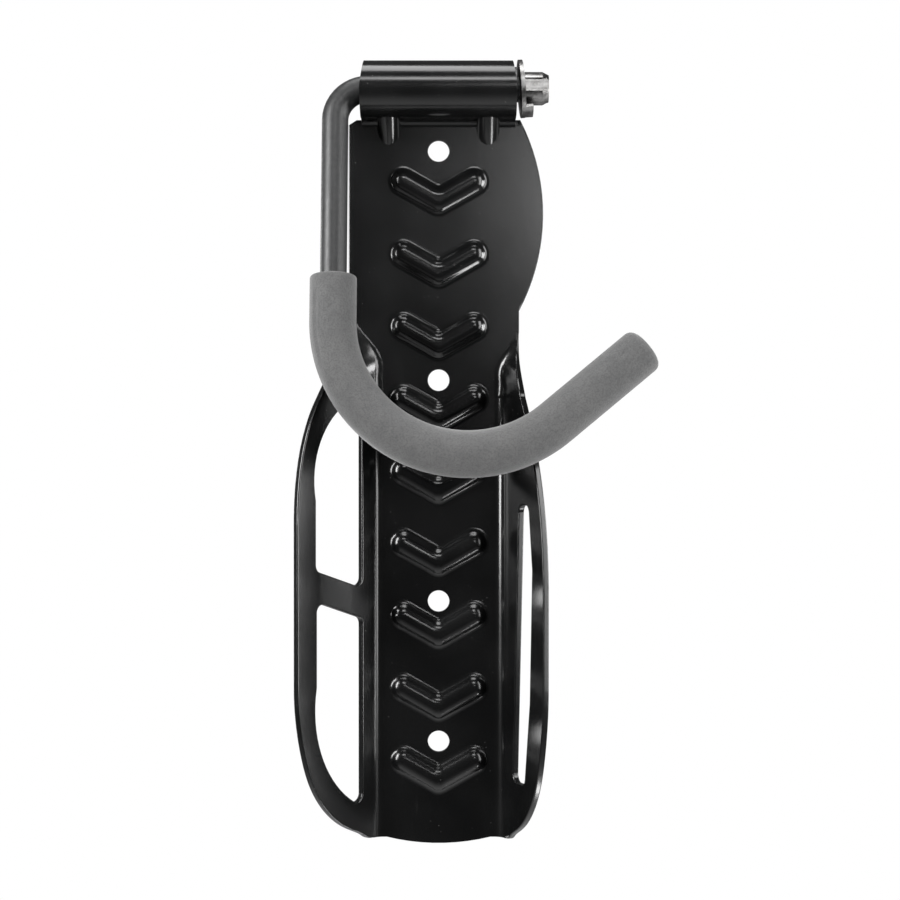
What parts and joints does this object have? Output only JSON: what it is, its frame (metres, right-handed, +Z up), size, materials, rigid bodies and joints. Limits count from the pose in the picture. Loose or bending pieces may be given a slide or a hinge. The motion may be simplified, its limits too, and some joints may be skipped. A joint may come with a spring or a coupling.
{
  "type": "bicycle wall rack",
  "caption": "Pressed steel wall plate with a ribbed tyre channel between two wings, and a swinging foam-covered J hook pivoted in a rolled barrel at the top.",
  "frame": {"origin": "on the wall plane, at the centre of the top screw hole", "axes": "+Z up the wall, +Y into the wall, +X to the right seen from the front, so the front faces -Y"},
  "size_m": [0.1342, 0.045, 0.299],
  "materials": {
    "powder_black": "semi-gloss powder coat",
    "rod_black": "satin",
    "foam_grey": "matte foam",
    "dark_zinc": "black zinc",
    "nylon": "natural"
  },
  "bodies": {
    "plate": {"back_plate": "powder_black", "left_bush": "nylon", "right_bush": "nylon"},
    "hook": {"hook_rod": "rod_black", "foam_sleeve": "foam_grey", "tab_washer": "dark_zinc", "end_nut": "dark_zinc"}
  },
  "joints": [
    {"name": "hook_swing", "type": "hinge", "parent": "plate", "child": "hook", "pos_m": [0, -0.0114, 0.022], "axis": [-1, 0, 0], "range_deg": [0, 165]}
  ]
}
